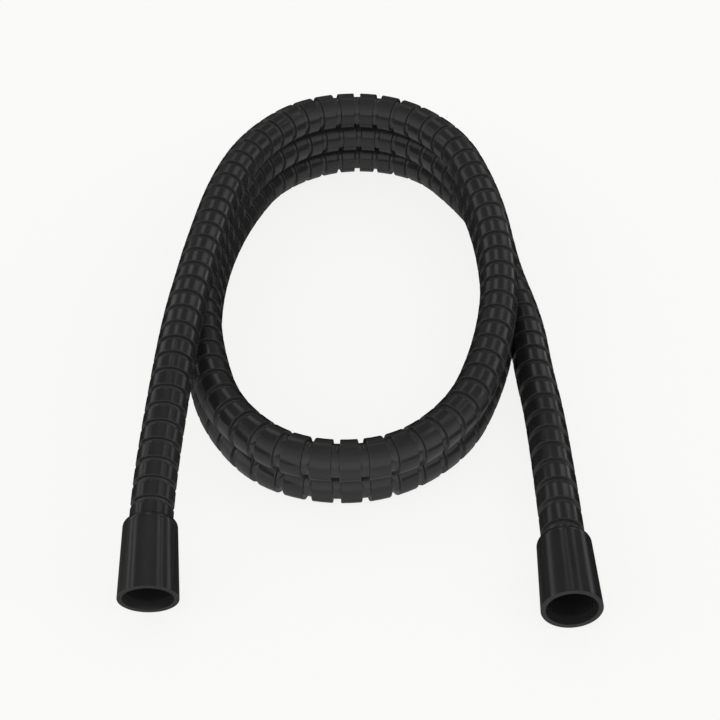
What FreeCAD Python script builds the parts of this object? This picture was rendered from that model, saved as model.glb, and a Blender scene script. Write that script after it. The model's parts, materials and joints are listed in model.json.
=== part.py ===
"""Pool vacuum hose: a ribbed hose laid down in a leaning coil, with a swivel cuff on each end.

Millimetres. +X to the right, -Y towards the open ends of the cuffs, +Z up, floor at Z = 0.
The origin is the middle of the object's footprint; the coil's own middle is at coil_x, coil_y,
and the places of the cuffs and the routes are measured from there.
"""
import FreeCAD, Part
import Sketcher
import math
import os

from FreeCAD import Placement, Rotation, Vector

SHEET = "sizes"

SIZES = {
    # the hose and its coil
    "hose_od": 36.0,
    "coil_x": -18.1,
    "coil_y": 42.9,
    "coil_end_radius": 111.0,
    "coil_side_radius": 520.0,
    "coil_side_angle": 23.2,
    "coil_rounding": 16.5,
    "turn_rise": 36.4,
    "turn_lean": 13.8,
    "slope_start": 225.0,
    "slope_end": 55.0,
    "cut_margin": 400.0,
    "bed_edge": 126.0,
    "bed_depth": 34.0,
    "bed_start": 70.0,
    "bed_length": 160.0,
    "exit_x": 173.5,
    "exit_y": 90.0,
    "exit_bend_radius": 700.0,
    "exit_bend_angle": 24.0,
    # where each cuff lies: the middle of its mouth, then its turn and its downward tilt
    "left_mouth_x": -148.2,
    "left_mouth_y": -394.6,
    "left_turn": 3.9,
    "left_tilt": 20.0,
    "right_mouth_x": 186.1,
    "right_mouth_y": -397.4,
    "right_turn": 2.6,
    "right_tilt": 8.5,
    # the cuff
    "cuff_length": 69.0,
    "cuff_mouth_od": 49.8,
    "cuff_shoulder_od": 45.0,
    "cuff_shoulder_length": 6.0,
    "cuff_shoulder_curve": 7.4,
    "cuff_face_od": 37.8,
    "cuff_lip_rounding": 0.8,
    "neck_bore": 37.2,
    "collar_length": 3.2,
    "cavity_bore": 40.0,
    "spigot_bore": 38.2,
    "lead_in_bore": 42.0,
    "lead_in_length": 8.0,
    # what is inside the cuff
    "swivel_gap": 0.3,
    "washer_thickness": 1.0,
    "washer_bore": 37.4,
    "sleeve_length": 20.0,
    "sleeve_od": 39.4,
    "sleeve_bore": 36.2,
    "sleeve_stop": 2.0,
    "sleeve_stop_bore": 29.0,
    "seal_thickness": 2.0,
    "seal_bore": 31.0,
    "ring_thickness": 1.8,
    "ring_bore": 33.0,
    "ring_od": 41.6,
    "ring_groove_bore": 41.8,
    "ring_sweep": 345.0,
    "full_turn": 360.0,
}

# Route of each free stretch between the coil and the run that lies on the cuff's own axis.
LEFT_ROUTE = [(-143.5, 0.0, 90.8), (-143.5, -45.0, 90.8), (-147.6, -105.0, 90.8), (-149.1, -178.0, 86.4)]
RIGHT_ROUTE = [(173.5, -90.0, 18.0), (173.5, -150.0, 18.0)]
AXIS_RUN = {"left": 42.0, "right": 45.0}
ARC_SHARE = 0.45

# Stations along a cuff, from its neck: each is a sum of sizes.
NECK = {}
SHOULDER = {"cuff_shoulder_length": 1}
COLLAR_END = {"collar_length": 1}
WASHER_START = {**COLLAR_END, "swivel_gap": 1}
SLEEVE_START = {**WASHER_START, "washer_thickness": 1}
SLEEVE_END = {**SLEEVE_START, "sleeve_length": 1}
HOSE_END = {**SLEEVE_END, "sleeve_stop": -1}
SEAL_END = {**SLEEVE_END, "seal_thickness": 1}
RING_START = {**SEAL_END, "swivel_gap": 2}
RING_END = {**RING_START, "ring_thickness": 1}
MOUTH = {"cuff_length": 1}
LEAD_IN = {**MOUTH, "lead_in_length": -1}

H_AXIS = -1
V_AXIS = -2
ORIGIN = (-1, 1)
START = 1
END = 2
CENTRE = 3
TINY = 1e-6

os.makedirs("parts", exist_ok=True)
doc = FreeCAD.newDocument("vacuum_hose")
sheet = doc.addObject("Spreadsheet::Sheet", SHEET)
for row, (alias, number) in enumerate(SIZES.items(), start=1):
    sheet.set("A%d" % row, alias)
    sheet.set("B%d" % row, str(number))
    sheet.setAlias("B%d" % row, alias)
doc.recompute()

nodes = []


def size(name):
    """A size as the sheet holds it."""
    return float(getattr(sheet, name))


def value(terms):
    """The number a sum of sizes comes to."""
    return sum(factor * size(name) for name, factor in terms.items())


def formula(terms):
    """The same sum as an expression for the sheet."""
    return " + ".join("%s * %s.%s" % (factor, SHEET, name) for name, factor in terms.items())


def half(name):
    return {name: 0.5}


def make_body(label):
    body = doc.addObject("PartDesign::Body", label)
    body.Label = label
    nodes.append(body)
    return body


def make_sketch(body, name, role, base=(NECK, NECK, NECK)):
    """A sketch on one of the body's own planes, moved in that plane's axes by sums of sizes."""
    sketch = body.newObject("Sketcher::SketchObject", name)
    plane = next(item for item in body.Origin.OriginFeatures if item.Role == role)
    sketch.AttachmentSupport = (plane, [""])
    sketch.MapMode = "FlatFace"
    for axis, terms in zip("xyz", base):
        if terms:
            sketch.setExpression("AttachmentOffset.Base.%s" % axis, formula(terms))
    doc.recompute()
    return sketch


def bind(sketch, constraint, expression):
    index = sketch.addConstraint(constraint)
    sketch.setExpression("Constraints[%d]" % index, expression)


def pin(sketch, item, point, x_terms, y_terms):
    """Hold one point of a sketch at sums of sizes from the sketch's origin."""
    for kind, terms, axis in (("DistanceX", x_terms, V_AXIS), ("DistanceY", y_terms, H_AXIS)):
        if terms:
            distance = Sketcher.Constraint(kind, *ORIGIN, item, point, value(terms))
            bind(sketch, distance, formula(terms))
        else:
            sketch.addConstraint(Sketcher.Constraint("PointOnObject", item, point, axis))


def bulge(start, end, radius):
    """The arc from start to end that swells to the right of the way it goes."""
    chord = end - start
    across = Vector(chord.y, -chord.x, 0).normalize()
    depth = math.sqrt(radius * radius - chord.Length ** 2 / 4)
    middle = (start + end) / 2
    crown = middle + across * (radius - depth)
    return Part.Arc(start, crown, end)


def outline(sketch, corners, curves):
    """A closed outline through the corners; curves gives the radius of the sides that are arcs."""
    places = [Vector(value(x_terms), value(y_terms), 0) for x_terms, y_terms in corners]
    count = len(corners)
    for index in range(count):
        start = places[index]
        end = places[(index + 1) % count]
        if index in curves:
            sketch.addGeometry(bulge(start, end, size(curves[index])))
        else:
            sketch.addGeometry(Part.LineSegment(start, end))
    for index in range(count):
        following = (index + 1) % count
        sketch.addConstraint(Sketcher.Constraint("Coincident", index, END, following, START))
    for index, (x_terms, y_terms) in enumerate(corners):
        pin(sketch, index, START, x_terms, y_terms)
    for index, name in curves.items():
        radius = Sketcher.Constraint("Radius", index, size(name))
        bind(sketch, radius, "%s.%s" % (SHEET, name))


def revolved(label, corners, curves, sweep, placement):
    """A turned piece: corners are (radius, station) pairs round its section."""
    body = make_body(label)
    sketch = make_sketch(body, label + "_section", "XZ_Plane")
    outline(sketch, corners, curves)
    turning = body.newObject("PartDesign::Revolution", label + "_turned")
    turning.Profile = sketch
    turning.ReferenceAxis = (sketch, ["V_Axis"])
    turning.setExpression("Angle", "%s.%s" % (SHEET, sweep))
    body.Tip = turning
    body.Placement = placement
    doc.recompute()
    return body


def band(outer, inner, start, end):
    """The square section of a plain ring."""
    return [(half(inner), start), (half(outer), start), (half(outer), end), (half(inner), end)]


def oval(sketch, side):
    """One edge of the coil, half a hose outside (side 1) or inside (side -1) the middle line."""
    grow = side * size("hose_od") / 2
    angle = math.radians(size("coil_side_angle"))
    end_radius = size("coil_end_radius") + grow
    side_radius = size("coil_side_radius") + grow
    reach = side_radius - end_radius
    first = sketch.GeometryCount
    centres = [
        Vector(-reach * math.cos(angle), 0, 0),
        Vector(0, reach * math.sin(angle), 0),
        Vector(reach * math.cos(angle), 0, 0),
        Vector(0, -reach * math.sin(angle), 0),
    ]
    starts = [-angle, angle, math.pi - angle, math.pi + angle]
    ends = [angle, math.pi - angle, math.pi + angle, 2 * math.pi - angle]
    radii = [side_radius, end_radius, side_radius, end_radius]
    names = ["coil_side_radius", "coil_end_radius", "coil_side_radius", "coil_end_radius"]
    for centre, radius, start, end in zip(centres, radii, starts, ends):
        circle = Part.Circle(centre, Vector(0, 0, 1), radius)
        sketch.addGeometry(Part.ArcOfCircle(circle, start, end))
    for index in range(4):
        following = first + (index + 1) % 4
        sketch.addConstraint(Sketcher.Constraint("Coincident", first + index, END, following, START))
    right = first
    left = first + 2
    sketch.addConstraint(Sketcher.Constraint("Symmetric", right, START, right, END, H_AXIS))
    sketch.addConstraint(Sketcher.Constraint("Symmetric", left, START, left, END, H_AXIS))
    sketch.addConstraint(Sketcher.Constraint("Symmetric", right, END, left, START, V_AXIS))
    offset = "%s * %s.hose_od" % (side * 0.5, SHEET)
    corner_x = Sketcher.Constraint("DistanceX", *ORIGIN, right, END, end_radius * math.cos(angle))
    bind(sketch, corner_x, "(%s.coil_end_radius + %s) * cos(%s.coil_side_angle)" % (SHEET, offset, SHEET))
    corner_y = Sketcher.Constraint("DistanceY", *ORIGIN, right, END, side_radius * math.sin(angle))
    bind(sketch, corner_y, "(%s.coil_side_radius + %s) * sin(%s.coil_side_angle)" % (SHEET, offset, SHEET))
    for index, (name, radius) in enumerate(zip(names, radii)):
        constraint = Sketcher.Constraint("Radius", first + index, radius)
        bind(sketch, constraint, "%s.%s + %s" % (SHEET, name, offset))


def layer(body, name, level, height):
    """An oval ring that starts at a level (in turns), leans back as it rises and is rounded."""
    lean = size("turn_lean") / size("turn_rise")
    shift = {"coil_y": 1, "turn_lean": 2 - level, "hose_od": 0.5 * lean}
    sketch = make_sketch(body, name + "_ring", "XY_Plane", ({"coil_x": 1}, shift, {"turn_rise": level}))
    oval(sketch, 1)
    oval(sketch, -1)
    pad = body.newObject("PartDesign::Pad", name)
    pad.Profile = sketch
    pad.UseCustomVector = True
    pad.Direction = Vector(0, -size("turn_lean"), size("turn_rise"))
    pad.AlongSketchNormal = True
    pad.setExpression("Length", formula(height))
    doc.recompute()
    return pad


def flat_edges(shape, level):
    """Names of the edges that lie at one height."""
    found = []
    for index, edge in enumerate(shape.Edges, start=1):
        box = edge.BoundBox
        if abs(box.ZMax - level) < TINY and abs(box.ZMin - level) < TINY:
            found.append("Edge%d" % index)
    return found


def round_over(body, name, feature, level):
    rounding = body.newObject("PartDesign::Fillet", name)
    rounding.Base = (feature, flat_edges(feature.Shape, level))
    rounding.setExpression("Radius", "%s.coil_rounding" % SHEET)
    doc.recompute()
    return rounding


def cut(body, name, sketch, depth=None):
    """A pocket along the sketch's own normal, right through unless it has a depth."""
    before = body.Shape.Volume
    pocket = body.newObject("PartDesign::Pocket", name)
    pocket.Profile = sketch
    pocket.Reversed = True
    if depth is None:
        pocket.Type = "ThroughAll"
    else:
        pocket.setExpression("Length", "%s.%s" % (SHEET, depth))
    body.Tip = pocket
    doc.recompute()
    print("%s took away %.0f mm3" % (name, before - body.Shape.Volume))
    if before - body.Shape.Volume < 1:
        raise RuntimeError("%s cut nothing" % name)


def make_coil():
    """The outer shape of two and a half turns of hose lying on each other."""
    body = make_body("hose_coil")
    low = layer(body, "two_turns", 0, {"turn_rise": 2})
    low = round_over(body, "floor_rounding", low, 0)
    body.Tip = low
    high = layer(body, "top_turn", 2, {"hose_od": 1})
    top = 2 * size("turn_rise") + size("hose_od")
    high = round_over(body, "top_rounding", high, top)
    body.Tip = high

    middle = ({"coil_x": 1}, {"coil_y": 1}, {"turn_rise": 2})
    front_half = make_sketch(body, "front_left", "XY_Plane", middle)
    far = {"cut_margin": -1}
    outline(front_half, [(far, far), (NECK, far), (NECK, NECK), (far, NECK)], {})
    cut(body, "top_turn_starts", front_half)

    slope = make_sketch(body, "slope", "YZ_Plane", ({"coil_y": 1}, NECK, {"coil_x": 1}))
    upper = {"turn_rise": 2, "hose_od": 1}
    lower = {"turn_rise": 2}
    sky = {"cut_margin": 1}
    corners = [
        ({"slope_start": 1}, upper),
        ({"slope_start": 1}, sky),
        (far, sky),
        (far, lower),
        ({"slope_end": -1}, lower),
    ]
    outline(slope, corners, {})
    cut(body, "top_turn_comes_down", slope)

    bed = make_sketch(body, "bed", "XZ_Plane", ({"coil_x": 1}, NECK, {"bed_start": 1, "coil_y": -1}))
    inner = {"bed_edge": -1}
    outer = {"bed_edge": -1, "bed_depth": -1}
    under = {"turn_rise": 2, "bed_depth": -1}
    outline(bed, [(inner, lower), (outer, lower), (outer, under)], {})
    cut(body, "room_for_the_left_tail", bed, "bed_length")

    axis_x = {"coil_x": 1, "exit_x": 1, "exit_bend_radius": -1}
    section = make_sketch(body, "exit_section", "XZ_Plane", (axis_x, NECK, {"exit_y": 1, "coil_y": -1}))
    centre = Vector(size("exit_bend_radius"), size("hose_od") / 2, 0)
    section.addGeometry(Part.Circle(centre, Vector(0, 0, 1), size("hose_od") / 2))
    pin(section, 0, CENTRE, {"exit_bend_radius": 1}, half("hose_od"))
    radius = Sketcher.Constraint("Radius", 0, size("hose_od") / 2)
    bind(section, radius, formula(half("hose_od")))
    bend = body.newObject("PartDesign::Revolution", "hose_leaves_coil")
    bend.Profile = section
    bend.ReferenceAxis = (section, ["V_Axis"])
    bend.setExpression("Angle", "%s.exit_bend_angle" % SHEET)
    bend.Reversed = False
    body.Tip = bend
    doc.recompute()


def from_coil(x, y, z):
    return Vector(size("coil_x") + x, size("coil_y") + y, z)


def cuff_direction(side):
    """The way a cuff points, from its neck to its mouth."""
    turn = math.radians(size(side + "_turn"))
    tilt = math.radians(size(side + "_tilt"))
    return Vector(math.sin(turn) * math.cos(tilt), -math.cos(turn) * math.cos(tilt), -math.sin(tilt))


def cuff_point(side, station):
    """A point on the axis of a cuff whose rounded lip rests on the floor."""
    tilt = math.radians(size(side + "_tilt"))
    lip = size("cuff_lip_rounding")
    height = (size("cuff_mouth_od") / 2 - lip) * math.cos(tilt) + lip * (1 - math.sin(tilt))
    mouth = from_coil(size(side + "_mouth_x"), size(side + "_mouth_y"), height)
    return mouth - cuff_direction(side) * (size("cuff_length") - station)


def tube(label, points):
    """Plain hose along straight runs joined by arcs."""
    start = points[0]
    edges = []
    for before, corner, after in zip(points, points[1:], points[2:]):
        way_in = corner - before
        way_out = after - corner
        turn = way_in.getAngle(way_out)
        reach = ARC_SHARE * min(way_in.Length, way_out.Length)
        radius = reach / math.tan(turn / 2)
        print("%s bend radius %.0f mm, turn %.1f deg" % (label, radius, math.degrees(turn)))
        arc_start = corner - way_in.normalize() * reach
        arc_end = corner + way_out.normalize() * reach
        inward = (arc_start + arc_end) / 2 - corner
        to_crown = radius / math.cos(turn / 2) - radius
        crown = corner + inward.normalize() * to_crown
        edges.append(Part.LineSegment(start, arc_start).toShape())
        edges.append(Part.Arc(arc_start, crown, arc_end).toShape())
        start = arc_end
    edges.append(Part.LineSegment(start, points[-1]).toShape())
    path = Part.Wire(edges)
    radius = size("hose_od") / 2
    section = Part.Wire(Part.makeCircle(radius, points[0], points[1] - points[0]))
    solid = path.makePipeShell([section], True, False)
    expected = math.pi * radius * radius * path.Length
    share = solid.Volume / expected
    print("%s length %.1f mm, volume %.4f of section times length" % (label, path.Length, share))
    feature = doc.addObject("Part::Feature", label)
    feature.Label = label
    feature.Shape = solid
    feature.Placement = Placement()
    nodes.append(feature)


def make_tail(side, route):
    points = [from_coil(*point) for point in route]
    end = value(HOSE_END)
    points.append(cuff_point(side, end - AXIS_RUN[side]))
    points.append(cuff_point(side, end))
    tube("hose_tail_" + side, points)


def soften_lip(body):
    """Round both edges of the cuff's mouth."""
    turned = body.Tip
    rim = []
    for index, edge in enumerate(turned.Shape.Edges, start=1):
        if len(edge.Vertexes) < 2 and abs(edge.BoundBox.ZMin - size("cuff_length")) < TINY:
            rim.append("Edge%d" % index)
    rounding = body.newObject("PartDesign::Fillet", body.Label + "_lip")
    rounding.Base = (turned, rim)
    rounding.setExpression("Radius", "%s.cuff_lip_rounding" % SHEET)
    body.Tip = rounding
    doc.recompute()


def make_cuff(side):
    placement = Placement(cuff_point(side, 0), Rotation(Vector(0, 0, 1), cuff_direction(side)))
    shell = [
        (half("neck_bore"), NECK),
        (half("cuff_face_od"), NECK),
        (half("cuff_shoulder_od"), SHOULDER),
        (half("cuff_mouth_od"), MOUTH),
        (half("lead_in_bore"), MOUTH),
        (half("spigot_bore"), LEAD_IN),
        (half("spigot_bore"), RING_END),
        (half("ring_groove_bore"), RING_END),
        (half("ring_groove_bore"), RING_START),
        (half("cavity_bore"), RING_START),
        (half("cavity_bore"), COLLAR_END),
        (half("neck_bore"), COLLAR_END),
    ]
    cuff = revolved(side + "_cuff", shell, {1: "cuff_shoulder_curve"}, "full_turn", placement)
    soften_lip(cuff)
    sleeve = [
        (half("sleeve_bore"), SLEEVE_START),
        (half("sleeve_od"), SLEEVE_START),
        (half("sleeve_od"), SLEEVE_END),
        (half("sleeve_stop_bore"), SLEEVE_END),
        (half("sleeve_stop_bore"), HOSE_END),
        (half("sleeve_bore"), HOSE_END),
    ]
    revolved(side + "_sleeve", sleeve, {}, "full_turn", placement)
    washer = band("sleeve_od", "washer_bore", WASHER_START, SLEEVE_START)
    revolved(side + "_washer", washer, {}, "full_turn", placement)
    seal = band("sleeve_od", "seal_bore", SLEEVE_END, SEAL_END)
    revolved(side + "_seal", seal, {}, "full_turn", placement)
    ring = band("ring_od", "ring_bore", RING_START, RING_END)
    revolved(side + "_retaining_ring", ring, {}, "ring_sweep", placement)


make_coil()
make_tail("left", LEFT_ROUTE)
make_tail("right", RIGHT_ROUTE)
for cuff_side in ("left", "right"):
    make_cuff(cuff_side)
doc.recompute()

for item in doc.Objects:
    if "Invalid" in item.State or "Error" in item.State:
        raise RuntimeError("%s did not compute" % item.Label)

whole = FreeCAD.BoundBox()
for node in nodes:
    if node.Shape.isNull() or not node.Shape.isValid():
        raise RuntimeError("%s has no valid shape" % node.Label)
    whole.add(node.Shape.BoundBox)
    node.Shape.exportStep("parts/%s.step" % node.Label)
    print("%s %.0f mm3, %d solid" % (node.Label, node.Shape.Volume, len(node.Shape.Solids)))
print("box", whole)
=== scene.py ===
"""Looks of the pool vacuum hose: one ribbed hose in a loose coil, a smooth swivel cuff on each end.

Metres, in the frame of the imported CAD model: -Y towards the cuffs' mouths, +Z up, floor at Z = 0.
"""
import bisect
import json
import math

import bpy
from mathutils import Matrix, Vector


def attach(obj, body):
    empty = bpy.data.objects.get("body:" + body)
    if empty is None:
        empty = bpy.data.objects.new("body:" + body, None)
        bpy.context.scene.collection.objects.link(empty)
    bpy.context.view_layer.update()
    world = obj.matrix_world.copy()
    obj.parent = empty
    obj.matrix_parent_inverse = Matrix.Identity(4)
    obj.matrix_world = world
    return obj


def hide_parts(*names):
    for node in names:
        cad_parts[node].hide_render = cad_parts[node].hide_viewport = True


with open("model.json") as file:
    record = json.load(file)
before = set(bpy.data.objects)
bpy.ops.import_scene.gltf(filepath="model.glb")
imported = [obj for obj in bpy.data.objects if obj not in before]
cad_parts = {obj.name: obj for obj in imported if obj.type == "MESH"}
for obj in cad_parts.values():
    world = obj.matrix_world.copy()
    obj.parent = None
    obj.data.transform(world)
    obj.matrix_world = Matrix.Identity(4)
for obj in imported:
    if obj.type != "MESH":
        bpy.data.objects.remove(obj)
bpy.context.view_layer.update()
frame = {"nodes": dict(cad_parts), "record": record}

MM = 0.001

# the hose
HOSE_OD = 36 * MM
HOSE_BORE = 25 * MM
RIB_PITCH = 22.4 * MM
RIB_LENGTH = 16.0 * MM
RIB_HEIGHT = 3.6 * MM
RIB_ROUNDING = 0.5 * MM
HOSE_SIDES = 56
# near each end: where the first groove is, how far apart the grooves are, and how many
END_GROOVES = {"left": (16.4 * MM, 18.6 * MM, 12), "right": (0.5 * MM, 26.0 * MM, 11)}

# the coil: its middle on the floor, and the oval that the spline's control points lie on
COIL_MIDDLE = Vector((-18.1, 42.9, 0)) * MM
HALF_WIDTH = 141.9 * MM
HALF_DEPTH = 281.8 * MM
END_RADIUS = 109.6 * MM
TURN_RISE = 36.4 * MM
TURN_LEAN = 13.9 * MM
TURN_GROWTH = 1.9 * MM
TURN_TWIST = math.radians(0.36)
POINTS_PER_TURN = 16
FIRST_ANGLE = math.radians(150)
LAST_ANGLE = math.radians(-670)
DROP_MIDDLE = 0.52
DROP_HALF = 1.10
TOP_LEVEL = 90.8 * MM

# the free stretches from the coil to each cuff, and the way the lowest turn leaves the coil
LEFT_ROUTE = [(-141.4, 0, 90.8), (-143.9, -45, 90.8), (-147.6, -105, 90.8), (-149.1, -178, 86.6)]
RIGHT_ROUTE = [(172.9, -90, 18), (179.4, -150, 18)]
EXIT_ROUTE = [(144.0, 152, 18), (150.3, 80, 18), (168.5, -10, 18)]
AXIS_RUN = {"left": 42 * MM, "right": 45 * MM}
HOSE_END = 22.5 * MM
# the smooth line through those points: its order, and how finely it is drawn
SPLINE_ORDER = 3
SPLINE_RESOLUTION = 24

# colours of the plastics and the steel: plain, then where they are worn or bright; the hose's
# rubbed rib edges also carry a painted highlight, and its grooves carry painted light, a paler
# colour that lifts their shade
HOSE_BLACK = (0.031, 0.031, 0.032)
HOSE_DARK_CLOUD = (0.025, 0.025, 0.026)
# rubbed wear on the rib edges, lighter, which also serves as a painted highlight there
HOSE_RUBBED_AND_HIGHLIGHT = (0.042, 0.042, 0.043)
# painted light in the grooves: a paler colour that lifts the shade in them
HOSE_GROOVE_PAINTED_LIGHT = (0.058, 0.058, 0.057)
CUFF_BLACK = (0.029, 0.029, 0.030)
CUFF_WORN = (0.042, 0.042, 0.043)
SLEEVE_BLACK = (0.03, 0.03, 0.03)
SLEEVE_WORN = (0.05, 0.05, 0.05)
WASHER_GREY = (0.2, 0.2, 0.2)
WASHER_WORN = (0.3, 0.3, 0.3)
SEAL_BLACK = (0.014, 0.014, 0.014)
RING_GREY = (0.42, 0.42, 0.43)
RING_BRIGHT = (0.56, 0.56, 0.57)
PLASTIC_SHINE = 0.5

# roughness, lowest and highest on each piece
HOSE_ROUGHNESS = (0.17, 0.24)
CUFF_ROUGHNESS = (0.16, 0.22)
SLEEVE_ROUGHNESS = (0.4, 0.55)
WASHER_ROUGHNESS = (0.35, 0.5)
SEAL_ROUGHNESS = (0.6, 0.78)
RING_ROUGHNESS = (0.26, 0.42)

# how high the fine surface marks stand
GRAIN_HEIGHT = 0.004 * MM
SCUFF_HEIGHT = 0.005 * MM
WAVE_HEIGHT = 0.02 * MM
RUBBER_HEIGHT = 0.03 * MM
DRAWN_HEIGHT = 0.01 * MM

CAMERA_LENS = 85
CAMERA_SENSOR = 36
CAMERA_ELEVATION = math.radians(37.61)
CAMERA_AZIMUTH = math.radians(-1.62)
CAMERA_DISTANCE = 1.628
CAMERA_AIM = COIL_MIDDLE + Vector((9.7, -49.3, 0)) * MM

# the floor, which gives off light of its own, and the plain colour that the camera sees beyond it
FLOOR_SIZE = 60
FLOOR_PAPER = (0.25, 0.25, 0.247)
FLOOR_GLOW = 0.85
FLOOR_GLOW_COLOUR = (1, 1, 0.985)
BACKDROP = (0.945, 0.945, 0.94)

# how bright the room is by height (-1 straight below, 0 level, 1 overhead)
FRONT_WALL = [
    (-1.0, 0.1), (-0.94, 0.25), (-0.8, 0.38), (-0.30, 0.42), (-0.24, 0.35), (-0.18, 0.35),
    (-0.12, 0.75), (0.2, 0.8), (0.47, 0.7), (0.6, 0.56), (0.85, 0.46), (1.0, 0.34),
]
BACK_WALL = [(-0.05, 0.0), (0.02, 0.09), (0.4, 0.13), (0.85, 0.15), (0.96, 0.28), (1.0, 0.34)]
SOFTBOX_DISTANCE = 6.0
SOFTBOXES = [
    # azimuth from straight behind the object, elevation, width and height in degrees, radiance
    (-48, 15, 30, 20, 0.5),
    (-69, 19, 12, 9, 0.8),
    (-70, 36, 16, 9, 0.9),
    (-12, 40, 12, 20, 0.6),
    (-17, 54, 9, 9, 0.7),
    (5, 60, 6, 12, 0.5),
    (36, 44, 7, 11, 0.7),
    (28, 27, 14, 22, 0.5),
    (39, 4, 12, 9, 0.9),
    (58, 12, 22, 14, 0.6),
    (62, 54, 22, 9, 0.7),
    (66, 41, 12, 6, 0.7),
]
# the way that counts as "behind": level backwards, tipped up a little
BEHIND = (0, 1, 0.4)


# ---------------------------------------------------------------- the hose's line

def oval_point(angle):
    """A point on the four-centre oval, a quarter turn of angle being a quarter of its length."""
    reach = HALF_DEPTH - END_RADIUS
    width = HALF_WIDTH - END_RADIUS
    side_radius = (HALF_WIDTH ** 2 - END_RADIUS ** 2 + reach ** 2) / (2 * width)
    change = math.acos((side_radius - HALF_WIDTH) / (side_radius - END_RADIUS))
    side_length = change * side_radius
    quarter = side_length + (math.pi / 2 - change) * END_RADIUS
    quarters = angle / (math.pi / 2)
    whole = math.floor(quarters + 1e-9)
    share = quarters - whole
    from_end = whole % 2 == 1
    walked = quarter * (1 - share if from_end else share)
    if walked < side_length:
        normal = walked / side_radius
    else:
        normal = change + (walked - side_length) / END_RADIUS
    facing = (whole + 1) * math.pi / 2 - normal if from_end else whole * math.pi / 2 + normal
    across, along = math.cos(facing), math.sin(facing)
    if abs(along) > math.sin(change):
        return END_RADIUS * across, math.copysign(reach, along) + END_RADIUS * along
    inset = math.copysign(side_radius - HALF_WIDTH, across)
    return side_radius * across - inset, side_radius * along


def turns_down(angle):
    """How many levels the hose has come down: one a turn, between the back and the right side."""
    total = 0
    for turn in range(2):
        middle = DROP_MIDDLE - 2 * math.pi * turn
        share = min(max((middle + DROP_HALF - angle) / (2 * DROP_HALF), 0), 1)
        total += share * share * (3 - 2 * share)
    return total


def coil_points():
    """The control points of the coil, from its top turn down."""
    steps = round((FIRST_ANGLE - LAST_ANGLE) / (2 * math.pi / POINTS_PER_TURN))
    points = []
    for step in range(steps + 1):
        angle = FIRST_ANGLE + (LAST_ANGLE - FIRST_ANGLE) * step / steps
        x, y = oval_point(angle)
        down = turns_down(angle)
        wider = 1 + down * TURN_GROWTH / HALF_WIDTH
        across = x * wider + down * TURN_TWIST * y
        along = y + down * TURN_LEAN
        points.append(COIL_MIDDLE + Vector((across, along, TOP_LEVEL - down * TURN_RISE)))
    return points


def cuff_axis(side):
    """The neck of a cuff and the way it points, as its joint in the record gives them."""
    joints = frame["record"]["behaviour"]["joints"]
    joint = next(item for item in joints if item["name"] == side + "_cuff_spin")
    return Vector(joint["pos_m"]), Vector(joint["axis"]).normalized()


def tail_points(side, route):
    """Control points of a free stretch, coil end first."""
    neck, way = cuff_axis(side)
    points = [COIL_MIDDLE + Vector(point) * MM for point in route]
    points.append(neck + way * (HOSE_END - AXIS_RUN[side]))
    points.append(neck + way * HOSE_END)
    return points


def hose_line():
    """Points close together along the hose's smooth line, from its left end to its right end."""
    left = tail_points("left", LEFT_ROUTE)
    right = tail_points("right", EXIT_ROUTE + RIGHT_ROUTE)
    control = left[::-1] + coil_points() + right
    curve = bpy.data.curves.new("hose_line", "CURVE")
    curve.dimensions = "3D"
    curve.resolution_u = SPLINE_RESOLUTION
    spline = curve.splines.new("NURBS")
    spline.points.add(len(control) - 1)
    for point, place in zip(spline.points, control):
        point.co = (*place, 1)
    spline.order_u = SPLINE_ORDER
    spline.use_endpoint_u = True
    holder = bpy.data.objects.new("hose_line", curve)
    mesh = bpy.data.meshes.new_from_object(holder)
    line = [vertex.co.copy() for vertex in mesh.vertices]
    bpy.data.objects.remove(holder)
    bpy.data.curves.remove(curve)
    bpy.data.meshes.remove(mesh)
    return line


# ---------------------------------------------------------------- the hose's mesh

class Line:
    """The hose's line with a frame that doesn't twist, read at any distance along it."""

    def __init__(self, points):
        self.points = points
        self.reach = [0.0]
        for before, after in zip(points, points[1:]):
            self.reach.append(self.reach[-1] + (after - before).length)
        self.length = self.reach[-1]
        last = len(points) - 1
        self.ways = [
            (points[min(index + 1, last)] - points[max(index - 1, 0)]).normalized()
            for index in range(last + 1)
        ]
        side = self.ways[0].orthogonal().normalized()
        self.sides = [side]
        for before, after in zip(self.ways, self.ways[1:]):
            side = before.rotation_difference(after) @ side
            side = (side - after * side.dot(after)).normalized()
            self.sides.append(side)

    def at(self, distance):
        """(place, way, side) at a distance along the line."""
        index = min(max(bisect.bisect_right(self.reach, distance) - 1, 0), len(self.points) - 2)
        share = (distance - self.reach[index]) / (self.reach[index + 1] - self.reach[index])
        place = self.points[index].lerp(self.points[index + 1], share)
        way = self.ways[index].lerp(self.ways[index + 1], share).normalized()
        side = self.sides[index].lerp(self.sides[index + 1], share)
        side = (side - way * side.dot(way)).normalized()
        return place, way, side


def rib_profile():
    """(distance from the rib's middle, radius, edge, groove) across one rib."""
    top = HOSE_OD / 2
    floor = top - RIB_HEIGHT
    half = RIB_LENGTH / 2
    soft = RIB_ROUNDING
    rising = [
        (-half - 0.5 * soft, floor, 0, 1),
        (-half, floor + 0.6 * soft, 0, 1),
        (-half, top - soft, 0.5, 0.4),
        (-half + 0.3 * soft, top - 0.3 * soft, 1, 0),
        (-half + soft, top, 0.6, 0),
        (-half + 2.5 * soft, top, 0, 0),
    ]
    falling = [(-place, radius, edge, groove) for place, radius, edge, groove in rising[::-1]]
    return rising + [(0, top, 0, 0)] + falling


def groove_places(length):
    """Distances of the grooves along the hose: set near both ends, even in between."""
    first, step, count = END_GROOVES["left"]
    near = [first + step * number for number in range(count)]
    first, step, count = END_GROOVES["right"]
    far = [length - first - step * number for number in range(count)][::-1]
    between = far[0] - near[-1]
    gaps = round(between / RIB_PITCH)
    middle = [near[-1] + between * number / gaps for number in range(1, gaps)]
    return near + middle + far


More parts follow.
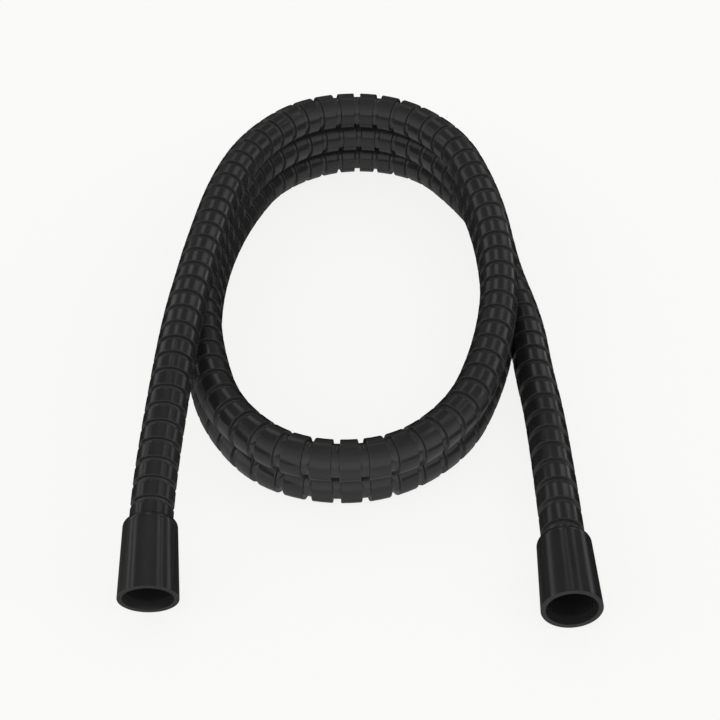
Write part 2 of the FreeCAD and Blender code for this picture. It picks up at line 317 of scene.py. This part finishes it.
def hose_stations(length):
    """(distance along the hose, radius, edge, groove) for the outside, end to end."""
    floor = HOSE_OD / 2 - RIB_HEIGHT
    places = groove_places(length)
    stations = [(0, floor, 0, 1), (places[0], floor, 0, 1)]
    for before, after in zip(places, places[1:]):
        wide = (after - before) / RIB_PITCH
        middle = (before + after) / 2
        stations += [(middle + place * wide, *rest) for place, *rest in rib_profile()]
        stations.append((after, floor, 0, 1))
    stations.append((length, floor, 0, 1))
    return stations


def hose_mesh(line):
    """The hollow ribbed tube: the outside with its ribs, the smooth bore and both cut ends."""
    outside = hose_stations(line.length)
    bore_count = round(line.length / RIB_PITCH)
    bore = [
        (line.length * (1 - step / bore_count), HOSE_BORE / 2, 0, 1)
        for step in range(bore_count + 1)
    ]
    loop = outside + bore
    vertices = []
    marks = []
    for distance, radius, edge, groove in loop:
        place, way, side = line.at(distance)
        other = way.cross(side)
        for step in range(HOSE_SIDES):
            turn = 2 * math.pi * step / HOSE_SIDES
            vertices.append(place + (side * math.cos(turn) + other * math.sin(turn)) * radius)
            marks.append((edge, groove, 0, 1))
    faces = []
    for ring in range(len(loop)):
        here = ring * HOSE_SIDES
        there = (ring + 1) % len(loop) * HOSE_SIDES
        for step in range(HOSE_SIDES):
            after = (step + 1) % HOSE_SIDES
            faces.append((here + step, here + after, there + after, there + step))
    mesh = bpy.data.meshes.new("hose")
    mesh.from_pydata(vertices, [], faces)
    mesh.shade_smooth()
    layer = mesh.color_attributes.new("marks", "FLOAT_COLOR", "POINT")
    layer.data.foreach_set("color", [number for mark in marks for number in mark])
    return mesh


# ---------------------------------------------------------------- materials

def new_material(name):
    material = bpy.data.materials.new(name)
    material.use_nodes = True
    return material, material.node_tree, material.node_tree.nodes["Principled BSDF"]


def object_noise(tree, scale, detail=3.0, stretch=(1, 1, 1)):
    """Noise in the object's own coordinates; scale is in features per metre."""
    place = tree.nodes.new("ShaderNodeTexCoord")
    mapping = tree.nodes.new("ShaderNodeMapping")
    mapping.inputs["Scale"].default_value = stretch
    noise = tree.nodes.new("ShaderNodeTexNoise")
    noise.inputs["Scale"].default_value = scale
    noise.inputs["Detail"].default_value = detail
    tree.links.new(place.outputs["Object"], mapping.inputs["Vector"])
    tree.links.new(mapping.outputs["Vector"], noise.inputs["Vector"])
    return noise.outputs["Fac"]


def ranged(tree, source, low, high, start=0.3, end=0.7):
    """source mapped from start..end to low..high."""
    node = tree.nodes.new("ShaderNodeMapRange")
    node.inputs["From Min"].default_value = start
    node.inputs["From Max"].default_value = end
    node.inputs["To Min"].default_value = low
    node.inputs["To Max"].default_value = high
    tree.links.new(source, node.inputs["Value"])
    return node.outputs["Result"]


def product(tree, first, second):
    node = tree.nodes.new("ShaderNodeMath")
    node.operation = "MULTIPLY"
    tree.links.new(first, node.inputs[0])
    tree.links.new(second, node.inputs[1])
    return node.outputs["Value"]


def blend_colours(tree, factor, first, second):
    """Two colours, each a tuple or a socket, mixed by a factor socket."""
    node = tree.nodes.new("ShaderNodeMix")
    node.data_type = "RGBA"
    tree.links.new(factor, node.inputs["Factor"])
    for colour, socket in ((first, node.inputs[6]), (second, node.inputs[7])):
        if isinstance(colour, tuple):
            socket.default_value = (*colour, 1)
        else:
            tree.links.new(colour, socket)
    return node.outputs[2]


def bumped(tree, shader, layers):
    """Bump from (height socket, distance in metres) layers, one over the other."""
    normal = None
    for height, distance in layers:
        bump = tree.nodes.new("ShaderNodeBump")
        bump.inputs["Distance"].default_value = distance
        tree.links.new(height, bump.inputs["Height"])
        if normal is not None:
            tree.links.new(normal, bump.inputs["Normal"])
        normal = bump.outputs["Normal"]
    tree.links.new(normal, shader.inputs["Normal"])


def moulded_plastic(name, colour, worn, roughness):
    """Near-black moulded plastic: cloudy colour, fine grain, handling marks."""
    material, tree, shader = new_material(name)
    cloud = object_noise(tree, 28, 4)
    scuff = object_noise(tree, 260, 5, (1, 0.18, 1))
    handled = ranged(tree, cloud, 0, 1, 0.45, 0.7)
    scratched = ranged(tree, scuff, 0, 1, 0.58, 0.74)
    marks = product(tree, handled, scratched)
    darker = tuple(0.8 * part for part in colour)
    tinted = blend_colours(tree, ranged(tree, cloud, 0, 1), colour, darker)
    tree.links.new(blend_colours(tree, marks, tinted, worn), shader.inputs["Base Color"])
    rough = ranged(tree, object_noise(tree, 90, 4), *roughness)
    tree.links.new(rough, shader.inputs["Roughness"])
    grain = object_noise(tree, 2400, 2)
    bumped(tree, shader, [(grain, GRAIN_HEIGHT), (scuff, SCUFF_HEIGHT)])
    shader.inputs["Specular IOR Level"].default_value = PLASTIC_SHINE
    return material


def hose_plastic():
    """Satin black ribbed hose: grooves painted lighter to lift their shade, rubbed rib edges with a
    painted highlight, fine grain along each rib.
    """
    material, tree, shader = new_material("hose_plastic")
    marks = tree.nodes.new("ShaderNodeAttribute")
    marks.attribute_name = "marks"
    split = tree.nodes.new("ShaderNodeSeparateColor")
    tree.links.new(marks.outputs["Color"], split.inputs["Color"])
    edge, groove = split.outputs["Red"], split.outputs["Green"]
    cloud = object_noise(tree, 24, 4)
    # the rib edges, rubbed in patches, are painted lighter: wear, and a painted highlight
    rubbed_and_highlight = product(tree, edge, ranged(tree, object_noise(tree, 150, 5), 0, 1, 0.4, 0.65))
    # painted light: the grooves get a paler colour that lifts their shade
    painted_groove_light = product(tree, groove, ranged(tree, cloud, 0.4, 1.0))
    body = blend_colours(tree, ranged(tree, cloud, 0, 1), HOSE_BLACK, HOSE_DARK_CLOUD)
    body = blend_colours(tree, rubbed_and_highlight, body, HOSE_RUBBED_AND_HIGHLIGHT)
    body = blend_colours(tree, painted_groove_light, body, HOSE_GROOVE_PAINTED_LIGHT)
    tree.links.new(body, shader.inputs["Base Color"])
    rough = ranged(tree, object_noise(tree, 110, 4), *HOSE_ROUGHNESS)
    tree.links.new(rough, shader.inputs["Roughness"])
    grain = object_noise(tree, 1900, 2)
    waves = object_noise(tree, 320, 3)
    bumped(tree, shader, [(grain, GRAIN_HEIGHT), (waves, WAVE_HEIGHT)])
    shader.inputs["Specular IOR Level"].default_value = PLASTIC_SHINE
    return material


def rubber(name, colour):
    """Dull black rubber, a little uneven in colour and gloss."""
    material, tree, shader = new_material(name)
    cloud = object_noise(tree, 140, 4)
    paler = tuple(1.6 * part for part in colour)
    tinted = blend_colours(tree, ranged(tree, cloud, 0, 1), colour, paler)
    tree.links.new(tinted, shader.inputs["Base Color"])
    tree.links.new(ranged(tree, cloud, *SEAL_ROUGHNESS), shader.inputs["Roughness"])
    bumped(tree, shader, [(object_noise(tree, 1500, 3), RUBBER_HEIGHT)])
    return material


def drawn_steel(name):
    """Spring wire: fine drawing lines round the ring and slightly uneven gloss."""
    material, tree, shader = new_material(name)
    streak = object_noise(tree, 900, 3, (1, 0.1, 1))
    tinted = blend_colours(tree, ranged(tree, streak, 0, 1), RING_GREY, RING_BRIGHT)
    tree.links.new(tinted, shader.inputs["Base Color"])
    tree.links.new(ranged(tree, streak, *RING_ROUGHNESS), shader.inputs["Roughness"])
    shader.inputs["Metallic"].default_value = 1.0
    bumped(tree, shader, [(streak, DRAWN_HEIGHT)])
    return material


def dress(node, material):
    """Give a carried-over CAD node its material."""
    holder = frame["nodes"][node]
    holder.data.materials.clear()
    holder.data.materials.append(material)


# ---------------------------------------------------------------- the object

def make_hose(material):
    """One continuous hose in place of the three CAD stretches."""
    line = Line(hose_line())
    mesh = hose_mesh(line)
    mesh.materials.append(material)
    hose = bpy.data.objects.new("vacuum_hose", mesh)
    bpy.context.scene.collection.objects.link(hose)
    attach(hose, "hose")
    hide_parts("hose_tail_left", "hose_coil", "hose_tail_right")
    print("hose length", line.length)


def dress_cuffs():
    """Materials for the cuffs and for the pieces inside them, which keep their CAD shape."""
    cuff = moulded_plastic("cuff_plastic", CUFF_BLACK, CUFF_WORN, CUFF_ROUGHNESS)
    sleeve = moulded_plastic("sleeve_plastic", SLEEVE_BLACK, SLEEVE_WORN, SLEEVE_ROUGHNESS)
    washer = moulded_plastic("washer_plastic", WASHER_GREY, WASHER_WORN, WASHER_ROUGHNESS)
    seal = rubber("seal_rubber", SEAL_BLACK)
    ring = drawn_steel("ring_steel")
    for side in ("left", "right"):
        dress(side + "_cuff", cuff)
        dress(side + "_sleeve", sleeve)
        dress(side + "_washer", washer)
        dress(side + "_seal", seal)
        dress(side + "_retaining_ring", ring)


# ---------------------------------------------------------------- the studio

def make_floor():
    """Pale paper that gives off light of its own and isn't seen in reflections."""
    bpy.ops.mesh.primitive_plane_add(size=FLOOR_SIZE)
    floor = bpy.context.object
    floor.name = "floor"
    material, tree, shader = new_material("floor_paper")
    shader.inputs["Base Color"].default_value = (*FLOOR_PAPER, 1)
    shader.inputs["Roughness"].default_value = 0.9
    shader.inputs["Specular IOR Level"].default_value = 0.0
    shader.inputs["Emission Color"].default_value = (*FLOOR_GLOW_COLOUR, 1)
    shader.inputs["Emission Strength"].default_value = FLOOR_GLOW
    floor.data.materials.append(material)
    floor.visible_glossy = False


def make_world():
    """Room light: bright in front, dim overhead and behind. The camera sees the plain backdrop."""
    world = bpy.data.worlds.new("studio")
    bpy.context.scene.world = world
    world.use_nodes = True
    tree = world.node_tree
    background = tree.nodes["Background"]
    place = tree.nodes.new("ShaderNodeTexCoord")
    split = tree.nodes.new("ShaderNodeSeparateXYZ")
    tree.links.new(place.outputs["Generated"], split.inputs["Vector"])
    height = ranged(tree, split.outputs["Z"], 0, 1, -1, 1)
    front = tree.nodes.new("ShaderNodeValToRGB")
    behind = tree.nodes.new("ShaderNodeValToRGB")
    for ramp, stops in ((front, FRONT_WALL), (behind, BACK_WALL)):
        band = ramp.color_ramp
        while len(band.elements) < len(stops):
            band.elements.new(0.5)
        for element, (level, light) in zip(band.elements, stops):
            element.position = (level + 1) / 2
            element.color = (light, light, light, 1)
        tree.links.new(height, ramp.inputs["Fac"])
    along = tree.nodes.new("ShaderNodeVectorMath")
    along.operation = "DOT_PRODUCT"
    along.inputs[1].default_value = BEHIND
    tree.links.new(place.outputs["Generated"], along.inputs[0])
    facing = ranged(tree, along.outputs["Value"], 1, 0, 0, 0.5)
    light = blend_colours(tree, facing, behind.outputs["Color"], front.outputs["Color"])
    seen = tree.nodes.new("ShaderNodeLightPath")
    shown = blend_colours(tree, seen.outputs["Is Camera Ray"], light, BACKDROP)
    tree.links.new(shown, background.inputs["Color"])


def make_softboxes():
    """Soft lights far behind and beside the object, which streak the hose and the cuffs."""
    for number, (azimuth, elevation, wide, high, radiance) in enumerate(SOFTBOXES):
        light = bpy.data.lights.new("softbox_%d" % number, "AREA")
        light.shape = "RECTANGLE"
        light.size = 2 * SOFTBOX_DISTANCE * math.tan(math.radians(wide / 2))
        light.size_y = 2 * SOFTBOX_DISTANCE * math.tan(math.radians(high / 2))
        light.energy = radiance * math.pi * light.size * light.size_y
        holder = bpy.data.objects.new("softbox_%d" % number, light)
        turn, rise = math.radians(azimuth), math.radians(elevation)
        level = math.cos(rise)
        way = Vector((math.sin(turn) * level, math.cos(turn) * level, math.sin(rise)))
        holder.location = way * SOFTBOX_DISTANCE
        holder.rotation_euler = way.to_track_quat("Z", "Y").to_euler()
        bpy.context.scene.collection.objects.link(holder)


def make_camera():
    data = bpy.data.cameras.new("camera")
    data.lens = CAMERA_LENS
    data.sensor_width = CAMERA_SENSOR
    camera = bpy.data.objects.new("camera", data)
    forward = Vector((
        math.sin(CAMERA_AZIMUTH) * math.cos(CAMERA_ELEVATION),
        math.cos(CAMERA_AZIMUTH) * math.cos(CAMERA_ELEVATION),
        -math.sin(CAMERA_ELEVATION),
    ))
    camera.location = CAMERA_AIM - forward * CAMERA_DISTANCE
    camera.rotation_euler = forward.to_track_quat("-Z", "Y").to_euler()
    bpy.context.scene.collection.objects.link(camera)
    bpy.context.scene.camera = camera


make_camera()
make_hose(hose_plastic())
dress_cuffs()
make_floor()
make_world()
make_softboxes()
bpy.context.scene.view_settings.view_transform = "Standard"
